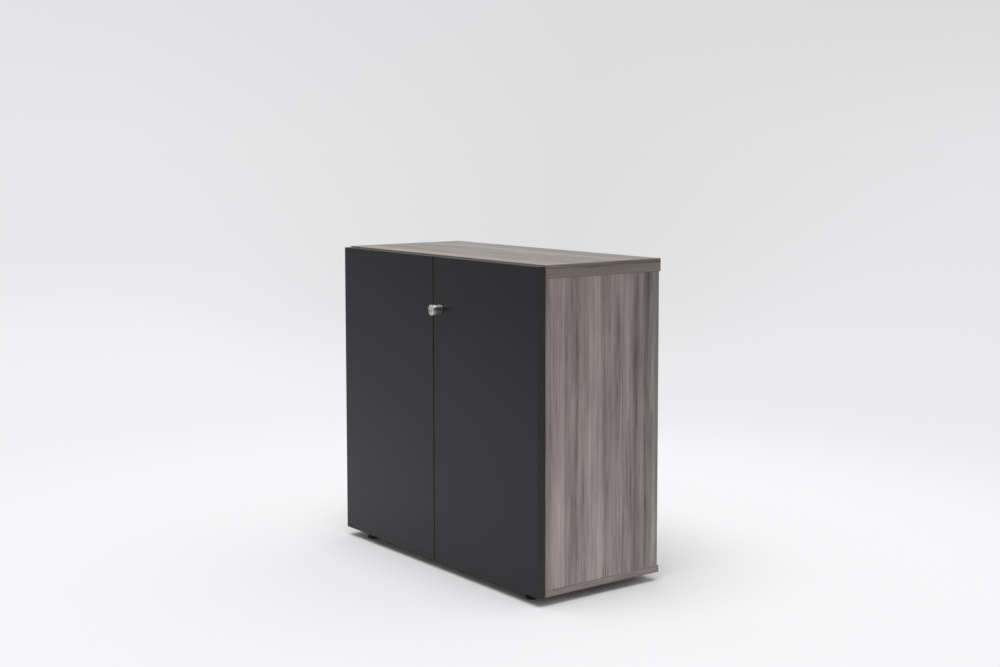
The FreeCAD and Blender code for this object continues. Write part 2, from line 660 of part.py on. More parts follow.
guides = []
for z in z_guides:
    lug = block(knob_x - guide_w / 2, knob_x + guide_w / 2, y_door_in, rod_y + rod_r + guide_wall,
                z - guide_h / 2, z + guide_h / 2)
    ear = rounded_block(knob_x - guide_w / 2 - guide_ear, knob_x + guide_w / 2 + guide_ear, y_door_in,
                        y_door_in + ear_t, z - guide_h / 2, z + guide_h / 2, BACK, ear_round)
    guides.append(cut_all(lug.fuse(ear).removeSplitter(),
                          [rod(rod_bore_r, (knob_x, rod_y, z - guide_h / 2), UP, guide_h)]
                          + [rod(lock_screw_r, (x, y_door_in, zs), BACK, ear_t)
                             for x, zs in guide_screws_at if zs == z]))
save("rod_guides", *guides)
save("lock_screws", *[screw((x, y_door_in + ear_t, z), V(0, -1, 0), lock_screw_r, lock_screw_l)
                      for x, z in ear_screws_at])

save("upper_keeper", keeper(z_top0, 1))
save("lower_keeper", keeper(z_bottom1, -1))
save("keeper_screws", keeper_screw(z_top0, 1), keeper_screw(z_bottom1, -1))

# ---------------------------------------------------------------- feet
for place, (x, y) in foot_axes().items():
    save("foot_" + place, foot(x, y))
save("foot_sockets", *[socket(x, y) for x, y in foot_axes().values()])
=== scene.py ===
"""Low two-door office cupboard: finishes, fine pieces, floor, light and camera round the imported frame."""
import math

import bmesh
import bpy
import numpy as np
from mathutils import Matrix, Vector


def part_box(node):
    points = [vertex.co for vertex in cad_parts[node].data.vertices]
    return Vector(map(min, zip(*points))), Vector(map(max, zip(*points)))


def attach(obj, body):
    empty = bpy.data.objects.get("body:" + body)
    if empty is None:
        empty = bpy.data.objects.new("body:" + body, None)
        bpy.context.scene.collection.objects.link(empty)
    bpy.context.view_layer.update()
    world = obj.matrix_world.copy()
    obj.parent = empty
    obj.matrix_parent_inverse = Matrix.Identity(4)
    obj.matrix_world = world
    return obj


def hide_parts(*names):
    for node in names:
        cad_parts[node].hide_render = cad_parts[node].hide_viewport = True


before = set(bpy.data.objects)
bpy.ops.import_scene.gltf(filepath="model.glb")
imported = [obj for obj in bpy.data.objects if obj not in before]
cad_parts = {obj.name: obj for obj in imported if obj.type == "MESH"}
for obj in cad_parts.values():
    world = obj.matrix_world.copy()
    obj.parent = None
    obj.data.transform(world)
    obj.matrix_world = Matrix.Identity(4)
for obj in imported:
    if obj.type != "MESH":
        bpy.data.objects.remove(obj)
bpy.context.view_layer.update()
MM = 0.001


# ---------------------------------------------------------------- camera
# A long lens stands a metre above the floor and looks at the right front corner, tipped slightly down.
# The lens is raised a little, so that the upright edges stay nearly parallel.
film_width = 36.0
focal_share = 1.5111                   # focal length as a share of the film's width
eye = Vector((2927.3, -2176.2, 1008.8)) * MM
heading = math.radians(52.961)         # turned left from the rear direction
dip = math.radians(4.844)
roll = math.radians(-0.073)
lens_rise = -0.06

lens = bpy.data.cameras.new("studio_camera")
lens.sensor_width = film_width
lens.lens = focal_share * film_width
lens.shift_y = lens_rise
camera = bpy.data.objects.new("studio_camera", lens)
bpy.context.scene.collection.objects.link(camera)
aim = (Matrix.Rotation(heading, 4, "Z") @ Matrix.Rotation(math.pi / 2 - dip, 4, "X")
       @ Matrix.Rotation(roll, 4, "Z"))
camera.matrix_world = Matrix.Translation(eye) @ aim
bpy.context.scene.camera = camera
bpy.context.scene.view_settings.view_transform = "Standard"


# ---------------------------------------------------------------- studio floor
# A white seamless floor of matt paint, which takes the cupboard's shadow. Further out it glows in the tones of the
# backdrop, so that the two run into each other, and behind the cupboard a painted shadow darkens that glow. Its
# light falls off where the studio is open, on the camera's left.
def colour(code):
    """An sRGB hex code as linear red, green, blue and alpha."""
    srgb = np.array([int(code[i:i + 2], 16) for i in (1, 3, 5)]) / 255
    linear = np.where(srgb <= 0.04045, srgb / 12.92, ((srgb + 0.055) / 1.055) ** 2.4)
    return (*linear.tolist(), 1.0)


def add(tree, kind, inputs=(), **settings):
    """Adds one node; settings are its properties. inputs go to its sockets in use, in order or by name: numbers,
    colours, outputs of other nodes, or other nodes, for their first output in use."""
    made = tree.nodes.new("ShaderNode" + kind)
    for name, value in settings.items():
        setattr(made, name, value)
    if isinstance(inputs, dict):
        filled = [(made.inputs[name], value) for name, value in inputs.items()]
    else:
        filled = zip([socket for socket in made.inputs if socket.enabled], inputs)
    for socket, value in filled:
        if isinstance(value, bpy.types.Node):
            value = next(output for output in value.outputs if output.enabled)
        if isinstance(value, bpy.types.NodeSocket):
            tree.links.new(value, socket)
        else:
            socket.default_value = value
    return made


def blank(name):
    """A new material with an empty node tree, the tree, and the place on the object, in metres."""
    made = bpy.data.materials.new(name)
    made.use_nodes = True
    made.node_tree.nodes.clear()
    return made, made.node_tree, add(made.node_tree, "TexCoord").outputs["Object"]


floor_half = 60.0
floor_paint = colour("#F4F4F6")
floor_open = colour("#F2F2F4")         # its glow, and the darker glow behind the cupboard, a painted shadow of it
floor_shadowed_behind = colour("#E6E6E8")
pool_inner, pool_outer = 0.8, 2.4      # radii between which the paint gives way to the glow
low_left = colour("#E8E8EA")           # tones of the backdrop's foot, from left to right; the middle one, behind the cupboard, is darker as painted shade
low_middle_shaded = colour("#DEDEDF")
low_right = colour("#E5E5E7")
right_hand = Vector((0.6, 0.8, 0.0))   # along the backdrop, to the camera's right
low_stops = (-0.24, 0.06, 0.33)        # where along it the three low tones stand
sway_half = 0.35                       # how far along it each way the backdrop changes from left to right
far_inner, far_outer = 1.0, 12.5       # radii between which the glow fades into the low tones on the left
half_way_right = 1.6                   # how far past far_inner it has faded by half on the right
wedge_inner, wedge_outer = 0.12, 0.40  # how far along it each way the glow is darkened behind the cupboard, as painted shadow
wedge_near, wedge_far = 2.0, 6.5       # radii between which that comes in
open_side = Vector((0.0, -1.0, 0.0))   # where the studio is open and dim
dim_inner, dim_outer = 0.4, 4.2        # distances out between which the paint's light falls off on that side
dim_floor = 0.30                       # what is left of it there
pale_inner, pale_outer = 0.5, 2.0      # radii between which it falls off all round
pale_floor = 0.30
mirrored_near, mirrored_far = 1.02, 0.08     # what shiny surfaces show of it on the open side, near and far out
mirrored_inner, mirrored_outer = 0.5, 4.5
mirrored_left, mirrored_right = 1.08, 0.52   # and their part of that, this far to the left and to the right
mirrored_side = 1.0


def low_tone_at(tree, aside):
    """The low tone at a direction's share of right_hand: a blend of the two tones that it lies between."""
    to_middle = add(tree, "MapRange", (aside, low_stops[0], low_stops[1]))
    to_right = add(tree, "MapRange", (aside, low_stops[1], low_stops[2]))
    left_part = add(tree, "Mix", (to_middle, low_left, low_middle_shaded), data_type="RGBA")
    return add(tree, "Mix", (to_right, left_part, low_right), data_type="RGBA")


floor_finish, tree, place = blank("matt_studio_floor")
reach = add(tree, "VectorMath", (place,), operation="LENGTH")
bearing = add(tree, "VectorMath", (place,), operation="NORMALIZE")
aside = add(tree, "VectorMath", (bearing, right_hand), operation="DOT_PRODUCT")
fade_left = add(tree, "MapRange", (reach, far_inner, far_outer), interpolation_type="SMOOTHERSTEP")
past_inner = add(tree, "Math", (reach, far_inner), operation="SUBTRACT")
past = add(tree, "Math", (past_inner, 0.0), operation="MAXIMUM")
span = add(tree, "Math", (past, half_way_right), operation="ADD")
fade_right = add(tree, "Math", (past, span), operation="DIVIDE")
sway = add(tree, "MapRange", (aside, -sway_half, sway_half))
fade = add(tree, "Mix", (sway, fade_left, fade_right), data_type="FLOAT")
off_middle = add(tree, "Math", (aside,), operation="ABSOLUTE")
# Painted shadow: the glow darkens in a wedge straight behind the cupboard, coming in past wedge_near.
wedge = add(tree, "MapRange", (off_middle, wedge_inner, wedge_outer, 1.0, 0.0), interpolation_type="SMOOTHSTEP")
come_in = add(tree, "MapRange", (reach, wedge_near, wedge_far), interpolation_type="SMOOTHSTEP")
painted_shadow = add(tree, "Math", (wedge, come_in), operation="MULTIPLY")
near_tone = add(tree, "Mix", (painted_shadow, floor_open, floor_shadowed_behind), data_type="RGBA")
tone = add(tree, "Mix", (fade, near_tone, low_tone_at(tree, aside)), data_type="RGBA")
glow = add(tree, "Emission", (tone, 1.0))

toward = add(tree, "VectorMath", (place, open_side), operation="DOT_PRODUCT")
dimmed = add(tree, "MapRange", (toward, dim_inner, dim_outer, 1.0, dim_floor), interpolation_type="SMOOTHSTEP")
paled = add(tree, "MapRange", (reach, pale_inner, pale_outer, 1.0, pale_floor), interpolation_type="SMOOTHSTEP")
kept_light = add(tree, "Math", (dimmed, paled), operation="MULTIPLY")
mirrored_out = add(tree, "MapRange", (toward, mirrored_inner, mirrored_outer, mirrored_near, mirrored_far))
across = add(tree, "SeparateXYZ", (place,)).outputs["X"]
sided = add(tree, "MapRange", (across, -mirrored_side, mirrored_side, mirrored_left, mirrored_right))
mirrored = add(tree, "Math", (mirrored_out, sided), operation="MULTIPLY")
ray = add(tree, "LightPath").outputs
unseen = add(tree, "Mix", (ray["Is Glossy Ray"], kept_light, mirrored), data_type="FLOAT")
shown = add(tree, "Math", (unseen, ray["Is Camera Ray"]), operation="MAXIMUM")
lit = add(tree, "VectorMath", (floor_paint[:3], shown), operation="SCALE")
paint = add(tree, "BsdfDiffuse", (lit,))

own = add(tree, "MapRange", (reach, pool_inner, pool_outer), interpolation_type="SMOOTHERSTEP")
share = add(tree, "Math", (own, ray["Is Camera Ray"]), operation="MULTIPLY")
add(tree, "OutputMaterial", (add(tree, "MixShader", (share, paint, glow)),))

floor_mesh = bpy.data.meshes.new("studio_floor")
floor_corners = np.array([(-1, -1, 0), (1, -1, 0), (1, 1, 0), (-1, 1, 0)]) * floor_half
floor_mesh.from_pydata(floor_corners.tolist(), [], [(0, 1, 2, 3)])
floor_mesh.materials.append(floor_finish)
floor = bpy.data.objects.new("studio_floor", floor_mesh)
bpy.context.scene.collection.objects.link(floor)


# ---------------------------------------------------------------- backdrop and light
# A pale backdrop all round, from the low tones at its foot to a left and a right tone above. It gives soft light,
# weaker from the open side, and shiny surfaces show less of it there. One broad lamp hangs nearly overhead.
backdrop_left = colour("#E3E3E6")
backdrop_right = colour("#D7D7D8")
low_band = 0.12                        # rise of a direction by which the low tones have given way to these
light_all_round, light_open_side = 0.50, 0.30
light_from, light_to = 0.1, 0.9        # how squarely a direction faces the open side, while the light falls to that
gloss_open_side = 0.10                 # what shiny surfaces show of that side, as a share, and where that comes in
gloss_from, gloss_to = 0.46, 0.66
right_side = Vector((1.0, 0.0, 0.0))   # the side that the cupboard's right end faces, in the same way
gloss_right_side = 0.40
beside_from, beside_to = 0.2, 0.8

world = bpy.data.worlds.new("studio")
world.use_nodes = True
tree = world.node_tree
tree.nodes.clear()
way = add(tree, "TexCoord").outputs["Generated"]
climb = add(tree, "MapRange", (add(tree, "SeparateXYZ", (way,)).outputs["Z"], 0.0, low_band))
aside = add(tree, "VectorMath", (way, right_hand), operation="DOT_PRODUCT")
sway = add(tree, "MapRange", (aside, -sway_half, sway_half))
high_tone = add(tree, "Mix", (sway, backdrop_left, backdrop_right), data_type="RGBA")
seen_tone = add(tree, "Mix", (climb, low_tone_at(tree, aside), high_tone), data_type="RGBA")
toward = add(tree, "VectorMath", (way, open_side), operation="DOT_PRODUCT")
dim = add(tree, "MapRange", (toward, light_from, light_to, light_all_round, light_open_side),
          interpolation_type="SMOOTHSTEP")
gloss_open = add(tree, "MapRange", (toward, gloss_from, gloss_to, 1.0, gloss_open_side),
                 interpolation_type="SMOOTHSTEP")
beside = add(tree, "VectorMath", (way, right_side), operation="DOT_PRODUCT")
gloss_right = add(tree, "MapRange", (beside, beside_from, beside_to, 1.0, gloss_right_side),
                  interpolation_type="SMOOTHSTEP")
shine = add(tree, "Math", (gloss_open, gloss_right), operation="MULTIPLY")
ray = add(tree, "LightPath").outputs
through = add(tree, "Math", (ray["Is Camera Ray"], ray["Is Transmission Ray"]), operation="MAXIMUM")
seen_sky = add(tree, "Background", (seen_tone, 1.0))
shiny_sky = add(tree, "Background", (seen_tone, shine))
light_sky = add(tree, "Background", ((1, 1, 1, 1), dim))
other_sky = add(tree, "MixShader", (ray["Is Glossy Ray"], light_sky, shiny_sky))
add(tree, "OutputWorld", (add(tree, "MixShader", (through, other_sky, seen_sky)),))
bpy.context.scene.world = world

lamp_strength = 1.88
lamp_width = math.radians(48)
lamp_tilt = math.radians(12)           # from straight overhead, towards the camera
lamp_bearing = math.radians(-72)
lamp_far = 4.0
lamp = bpy.data.lights.new("overhead_lamp", "SUN")
lamp.energy = lamp_strength
lamp.angle = lamp_width
lamp_object = bpy.data.objects.new("overhead_lamp", lamp)
lamp_from = Vector((math.sin(lamp_tilt) * math.cos(lamp_bearing),
                    math.sin(lamp_tilt) * math.sin(lamp_bearing), math.cos(lamp_tilt)))
lamp_object.rotation_mode = "QUATERNION"
lamp_object.rotation_quaternion = lamp_from.to_track_quat("Z", "Y")
lamp_object.location = lamp_from * lamp_far
bpy.context.scene.collection.objects.link(lamp_object)


# ---------------------------------------------------------------- wood-decor boards
# Chipboard faced with printed melamine paper: grey ash in long straight strands, rose-grey with a few green-grey
# ones, under a matt clear skin whose pores are pressed along the grain. Bores and unbanded ends show the chipboard.
# The print runs upright on the sides and the back, lengthwise on the other boards, and along every edge band.
skin_t = 0.25 * MM                         # printed paper on the chipboard
chip_w = 2 * MM
pore_deep = 0.12 * MM
print_width = 336 * MM
wander_by = 8 * MM                         # how far the strands wander from side to side
wander_wide, wander_long = 80, 360         # within patches of this width and length, in mm
strands = (                                # centre and half width in mm, and how much lighter or darker
    (36, 26, 0.23), (82, 34, -0.07), (141, 30, 0.30), (178, 12, 0.08), (207, 26, -0.16), (219, 5, 0.16),
    (261, 20, -0.38), (281, 7, 0.03), (300, 28, -0.24))
green_strands = ((0, 18, 0.35), (84, 36, 0.28), (322, 66, 0.55))
green_wide, green_long = 45, 900           # green patches, in mm; where their noise shows none and all, how strong
green_none, green_all, green_weight = 0.50, 0.36, 0.34
print_layers = {                           # finer marks: width and length in mm, detail, and how strong
    "bands": (20, 1800, 3.0, 0.85), "patches": (32, 260, 4.0, 0.95), "flakes": (10, 160, 3.0, 0.70),
    "lines": (4.0, 550, 2.0, 0.85), "hairs": (1.8, 70, 1.0, 0.50)}
dark_lines = (0.40, 0.26, -0.22)           # where the lines' noise shows none and all of these, and how strong
pale_bands = (0.66, 0.74, 0.10)
pores = (0.45, 0.32, -0.12)                # among the hairs


def dress(finish, *names):
    """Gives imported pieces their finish."""
    for name in names:
        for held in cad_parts[name].material_slots:
            held.material = finish


def between_faces(name, axis):
    """The axis and the two places just inside a board's faces, measured from the middle of the object."""
    near, far = sorted(abs(corner["xyz".index(axis)]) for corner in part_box(name))
    return axis, near + skin_t, far - skin_t


def coat(tree, hue, gloss, relief=None, rise=0.0, strength=0.0, **others):
    """Ends a material: one skin in its colour and gloss, with a relief that stands up by rise, in metres. Names of
    other sockets are written with _ for a blank."""
    sockets = {"Base Color": hue, "Roughness": gloss}
    sockets |= {name.replace("_", " "): value for name, value in others.items()}
    if relief:
        sockets["Normal"] = add(tree, "Bump", {"Strength": strength, "Distance": rise, "Height": relief})
    add(tree, "OutputMaterial", (add(tree, "BsdfPrincipled", sockets),))


def bare_core(tree, place, core, faced):
    """The faced board's colour, or that of pressed wood chips, pale to brown, where the distance from the middle
    along core's axis lies between its two places."""
    axis, low, high = core
    out_along = add(tree, "SeparateXYZ", (place,)).outputs["xyz".index(axis)]
    depth = add(tree, "Math", (out_along,), operation="ABSOLUTE")
    past_low = add(tree, "Math", (depth, low), operation="GREATER_THAN")
    short_of_high = add(tree, "Math", (depth, high), operation="LESS_THAN")
    bare = add(tree, "Math", (past_low, short_of_high), operation="MULTIPLY")
    chips = add(tree, "TexVoronoi", (place, 1 / chip_w)).outputs["Color"]
    chip = add(tree, "SeparateColor", (chips,)).outputs[0]
    raw = add(tree, "Mix", (chip, colour("#8C7252"), colour("#C3A57E")), data_type="RGBA")
    return add(tree, "Mix", (bare, faced, raw), data_type="RGBA")


def decor(name, grain, start, core=None, tint=1.0, rose="#8C807E", ends=None, end_tint=None):
    """The printed board. grain is the axis along which the print runs, start moves the print in metres, and core is
    an axis with the places between which the raw board shows. ends, for strips round a board, is how far out the
    strips on its ends lie, where the print turns the corner, and end_tint is their own tint."""
    made, tree, place = blank(name)
    x, y, z = add(tree, "SeparateXYZ", (place,)).outputs
    facing = add(tree, "CombineXYZ", (x, y, z) if grain == "z" else (y, z, x))
    if ends:
        out_x = add(tree, "Math", (x,), operation="ABSOLUTE")
        on_end = add(tree, "Math", (out_x, ends), operation="GREATER_THAN")
        round_corner = add(tree, "CombineXYZ", (x, z, y))
        facing = add(tree, "Mix", (on_end, facing, round_corner), data_type="VECTOR")
    moved = add(tree, "VectorMath", (facing, start), operation="ADD")
    across_1, across_2, along = add(tree, "SeparateXYZ", (moved,)).outputs

    def streaks(a, b, wide, long, detail):
        """Noise whose patches are about this wide and this long, in mm."""
        drawn_out = add(tree, "Math", (along, wide / long), operation="MULTIPLY")
        point = add(tree, "CombineXYZ", (a, b, drawn_out))
        return add(tree, "TexNoise", (point, 1 / (wide * MM), detail))

    def strand(centre, half, amount):
        """A soft strand of this half width, strongest at its centre, in mm across the print."""
        off = add(tree, "Math", (in_print, centre * MM), operation="SUBTRACT")
        away = add(tree, "Math", (off,), operation="ABSOLUTE")
        return add(tree, "MapRange", (away, 0.0, half * MM, amount, 0.0), interpolation_type="SMOOTHSTEP")

    sideways = streaks(across_1, across_2, wander_wide, wander_long, 3.0)
    wander = add(tree, "Math", (sideways, wander_by, -wander_by / 2), operation="MULTIPLY_ADD")
    a = add(tree, "Math", (across_1, wander), operation="ADD")
    b = add(tree, "Math", (across_2, wander), operation="ADD")
    summed = add(tree, "Math", (a, b), operation="ADD")
    in_print = add(tree, "Math", (summed, print_width), operation="FLOORED_MODULO")

    shade, layers = 1.0, {}
    for centre, half, amount in strands:
        shade = add(tree, "Math", (strand(centre, half, amount), shade), operation="ADD")
    for kind, (wide, long, detail, weight) in print_layers.items():
        layers[kind] = streaks(a, b, wide, long, detail)
        off_mean = add(tree, "Math", (layers[kind], 0.5), operation="SUBTRACT")
        shade = add(tree, "Math", (off_mean, weight, shade), operation="MULTIPLY_ADD")
    for kind, (none, full, weight) in (("lines", dark_lines), ("bands", pale_bands), ("hairs", pores)):
        mark = add(tree, "MapRange", (layers[kind], none, full), interpolation_type="SMOOTHSTEP")
        shade = add(tree, "Math", (mark, weight, shade), operation="MULTIPLY_ADD")
    unpressed = add(tree, "Math", (1.0, mark), operation="SUBTRACT")   # 0 in the pores, which came last

    green_noise = streaks(a, b, green_wide, green_long, 1.0)
    patch = add(tree, "MapRange", (green_noise, green_none, green_all), interpolation_type="SMOOTHSTEP")
    green = add(tree, "Math", (patch, green_weight), operation="MULTIPLY")
    for centre, half, amount in green_strands:
        green = add(tree, "Math", (strand(centre, half, amount), green), operation="ADD", use_clamp=True)
    hue = add(tree, "Mix", (green, colour(rose), colour("#7E7D76")), data_type="RGBA")
    if end_tint:
        tint = add(tree, "Math", (on_end, end_tint - tint, tint), operation="MULTIPLY_ADD")
    tinted = add(tree, "Math", (shade, tint), operation="MULTIPLY")
    printed = add(tree, "VectorMath", (hue, tinted), operation="SCALE")
    if core:
        printed = bare_core(tree, place, core, printed)
    coat(tree, printed, 0.42, unpressed, pore_deep, 0.25, IOR=1.5)
    return made


side_start, shelf_start, side_tint = (-0.400, 0.145, 0.0), (0.33, 0.0, 1.70), 1.30
dress(decor("ash_decor_side", "z", side_start, between_faces("right_side_panel", "x"), side_tint),
      "left_side_panel", "right_side_panel")
dress(decor("ash_decor_side_band", "z", side_start, tint=side_tint), "side_edge_bands")
dress(decor("ash_decor_back", "z", (0.10, 0.12, 0.0)), "back_panel")
dress(decor("ash_decor_top", "x", (0.53, 0.0, 0.40), between_faces("top_panel", "z"), rose="#8D8379"), "top_panel")
dress(decor("ash_decor_bottom", "x", (0.21, 0.0, 3.10), between_faces("bottom_panel", "z")), "bottom_panel")
dress(decor("ash_decor_shelf", "x", shelf_start, between_faces("shelf", "z")), "shelf")
dress(decor("ash_decor_shelf_band", "x", shelf_start), "shelf_edge_band")
end_of_board = float(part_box("top_panel")[1][0]) - skin_t
# The strips along the top's front and back are made paler than those on its ends: painted light for the front edge,
# which the dim open side leaves dark.
dress(decor("ash_decor_top_band", "x", (0.37, 0.21, 0.0), tint=0.90, rose="#898179", ends=end_of_board,
            end_tint=0.80), "top_edge_bands")
dress(decor("ash_decor_bottom_band", "x", (0.11, 0.35, 0.0), tint=1.06, ends=end_of_board), "bottom_edge_bands")


# ---------------------------------------------------------------- graphite doors
# Chipboard faced with plain graphite melamine, matt with a fine pearl texture that breaks up the light, and edged
# with a 2 mm strip of the same colour, which is duller; the strip is made a little paler as painted sheen, so that
# it reads as bright as the faces, which catch more light.
pearl_w, pearl_deep = 0.9 * MM, 0.08 * MM
door_cloud_w = 180 * MM


def graphite_melamine(name, dark, pale, shine, core=None):
    """Plain melamine, from dark to pale in wide faint clouds, with its pearls as relief."""
    made, tree, place = blank(name)
    pearls = add(tree, "TexNoise", (place, 1 / pearl_w, 2.0))
    cloud = add(tree, "TexNoise", (place, 1 / door_cloud_w, 2.0))
    hue = add(tree, "Mix", (cloud, colour(dark), colour(pale)), data_type="RGBA")
    if core:
        hue = bare_core(tree, place, core, hue)
    coat(tree, hue, 0.45, pearls, pearl_deep, 0.2, IOR=1.5, Specular_IOR_Level=shine)
    return made


dress(graphite_melamine("graphite_melamine", "#222226", "#26262B", 0.36, between_faces("left_door", "y")),
      "left_door", "right_door")
dress(graphite_melamine("graphite_edge_band", "#393836", "#3D3C3A", 0.15),
      "left_door_edge_bands", "right_door_edge_bands")


# ---------------------------------------------------------------- knob of the rod lock
# Turned zinc knob, satin-nickel plated: a thin head with a raised rim, a groove behind it and a slightly smaller
# body. The lathe's fine rings stay in the plating, on the faces and round the body, as a soft sheen.
ease_steps = 5


def filleted(corners):
    """A profile whose corners are eased: each corner (radius, height, ease) becomes a parabola between the points
    that lie its ease before and after it."""
    corners = np.array(corners, float)
    point, ease = corners[:, :2], corners[:, 2:]
    here_from = point - np.roll(point, 1, 0)
    here_to = np.roll(point, -1, 0) - point
    start = point - here_from / np.linalg.norm(here_from, axis=1, keepdims=True) * ease
    end = point + here_to / np.linalg.norm(here_to, axis=1, keepdims=True) * ease
    s = np.linspace(0, 1, ease_steps)[None, :, None]
    curve = (1 - s) ** 2 * start[:, None] + 2 * s * (1 - s) * point[:, None] + s ** 2 * end[:, None]
    return curve.reshape(-1, 2)


def carried_round(radius, height, angle, foot, along):
    """Points in mm at these radii, heights and angles about the axis that starts at foot."""
    along = Vector(along).normalized()
    side = along.orthogonal().normalized()
    other = along.cross(side)
    return (np.array(foot) + height[..., None] * np.array(along)
            + (radius * np.cos(angle))[..., None] * np.array(side)
            + (radius * np.sin(angle))[..., None] * np.array(other))


def turned(profile, foot, along, steps, shape=None):
    """A grid of points: each (radius, height) of the profile is carried round the axis. shape, where given, works
    out the radius from radius, height and angle."""
    radius, height = np.array(profile, float).T[:, :, None]
    angle = np.linspace(0, 2 * np.pi, steps, endpoint=False)[None]
    radius = shape(radius, height, angle) if shape else radius + 0 * angle
    return carried_round(radius, height, angle, foot, along)


round_map = "round_and_along"
merge_within = 0.002 * MM
crease = math.radians(32)                  # edges that bend more than this stay sharp
quad_corners = ((0, 0), (1, 0), (1, 1), (0, 1))


def piece(name, grids, finish, body, slot, *stands_for, ring=False):
    """One object from grids of points in mm, each closed round its rows and, as a ring, from the last row to the
    first. Its UV map runs from 0 to 1 round each row and from the first row to the last. Doubled points are merged,
    so poles close, and the normals are turned outwards."""
    points, faces, laid, first = [], [], [], 0
    for grid in grids:
        rows, columns = grid.shape[:2]
        number = first + np.arange(rows * columns).reshape(rows, columns)
        lower = number if ring else number[:-1]
        upper = np.roll(number, -1, 0) if ring else number[1:]
        quads = np.stack([lower, np.roll(lower, -1, 1), np.roll(upper, -1, 1), upper], -1)
        points.append(grid.reshape(-1, 3) * MM)
        faces.append(quads.reshape(-1, 4))
        row, column = np.mgrid[:len(lower), :columns]
        on_map = [np.stack([(column + i) / columns, (row + j) / rows], -1) for i, j in quad_corners]
        laid.append(np.stack(on_map, 2).reshape(-1, 2))
        first += rows * columns
    mesh = bpy.data.meshes.new(name)
    mesh.from_pydata(np.concatenate(points).tolist(), [], np.concatenate(faces).tolist())
    mesh.uv_layers.new(name=round_map).uv.foreach_set("vector", np.concatenate(laid).ravel())
    held = bmesh.new()
    held.from_mesh(mesh)
    bmesh.ops.remove_doubles(held, verts=held.verts, dist=merge_within)
    bmesh.ops.recalc_face_normals(held, faces=held.faces)
    held.to_mesh(mesh)
    held.free()
    mesh.polygons.foreach_set("use_smooth", np.ones(len(mesh.polygons), bool))
    mesh.set_sharp_from_angle(angle=crease)
    mesh.materials.append(finish)
    made = bpy.data.objects.new(name, mesh)
    bpy.context.scene.collection.objects.link(made)
    weigh = made.modifiers.new("flat_faces_lead", "WEIGHTED_NORMAL")
    weigh.keep_sharp = True
    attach(made, body)
    if stands_for:
        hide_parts(*stands_for)
    return made


def middle(name):
    """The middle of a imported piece's box, and its lowest and highest corners, in mm."""
    low, high = (np.array(corner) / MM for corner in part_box(name))
    return (low + high) / 2, low, high


knob_at, knob_low, knob_high = middle("lock_knob")
knob_r = (knob_high[0] - knob_low[0]) / 2
knob_long = knob_high[1] - knob_low[1]
rim_w, rim_deep = 2.0, 1.0                 # raised rim and the sunk face inside it
head_t, groove_w, groove_r, body_r = 2.5, 2.0, 10.6, 12.2
cylinder_r, cylinder_long, cylinder_sunk = 8.0, 15.0, 0.4
spindle_r = 4.5
lathe_ring, ring_deep = 0.30 * MM, 0.02 * MM   # rings drawn coarser than the real 0.1 mm, so that they show
nickel_cloud_w, nickel_uneven = 4 * MM, 0.015  # clouds in the plating, and how much they change its roughness
cloud_low, cloud_high = 0.3, 0.7           # nearly all of a noise's values lie between these


def satin_nickel(name, dark, pale, rough, stretch=0.0):
    """Satin nickel with rings about the knob's axis; stretch draws the sheen out across the rings, which run along
    the first direction of the piece's UV map."""
    made, tree, place = blank(name)
    x, y, z = add(tree, "SeparateXYZ", (place,)).outputs
    knob_axis = (knob_at[0] * MM, knob_at[2] * MM, 0)
    from_axis = add(tree, "VectorMath", (add(tree, "CombineXYZ", (x, z)), knob_axis), operation="DISTANCE")
    rings = add(tree, "TexNoise", (add(tree, "CombineXYZ", (from_axis, y)), 1 / lathe_ring, 2.0))
    cloud = add(tree, "TexNoise", (place, 1 / nickel_cloud_w, 2.0))
    gloss = add(tree, "MapRange", (cloud, cloud_low, cloud_high, rough - nickel_uneven, rough + nickel_uneven))
    hue = add(tree, "Mix", (rings, colour(dark), colour(pale)), data_type="RGBA")
    sheen = {}
    if stretch:
        tangent = add(tree, "Tangent", direction_type="UV_MAP", uv_map=round_map)
        sheen = {"Tangent": tangent, "Anisotropic": stretch, "Anisotropic_Rotation": 0.25}
    coat(tree, hue, gloss, rings, ring_deep, 0.22, Metallic=1.0, **sheen)
    return made


inner_r = knob_r - rim_w
body_at = head_t + groove_w
back_of_cylinder = cylinder_sunk + cylinder_long
knob_profile = filleted([
    (cylinder_r, rim_deep, 0.1), (inner_r, rim_deep, 0.25), (inner_r, 0, 0.25), (knob_r, 0, 0.45),
    (knob_r, head_t, 0.5), (groove_r, head_t, 0.3), (groove_r, body_at, 0.2), (body_r, body_at, 1.3),
    (body_r, knob_long, 0.8), (spindle_r, knob_long, 0.2), (spindle_r, back_of_cylinder, 0.1),
    (cylinder_r, back_of_cylinder, 0.1)])
knob_face = (knob_at[0], knob_low[1], knob_at[2])
turned_nickel = satin_nickel("satin_nickel_turned", "#DAD9D1", "#F2F1EC", 0.29, 0.78)
piece("turned_knob", [turned(knob_profile, knob_face, (0, 1, 0), 160)], turned_nickel, "lock_turn", "satin_nickel",
      "lock_knob", ring=True)


# ---------------------------------------------------------------- key cylinder
# Nickel-plated brass cylinder in the knob, its face a little behind the rim, with an upright keyway whose wards jog
# it. The pressed collar behind the knob has the same plating.
keyway_half, keyway_tall, keyway_deep, ward = 0.8, 3.5, 9.0, 0.22
keyway_ease = 0.12
long_sides = 2.2                           # sets the points closer along the slot's long sides
face_edge, face_share = 0.25, 0.97         # bevel round the face: how deep, and the face's share of the radius
back_edge, back_share = 0.3, 0.999
cylinder_steps = 96


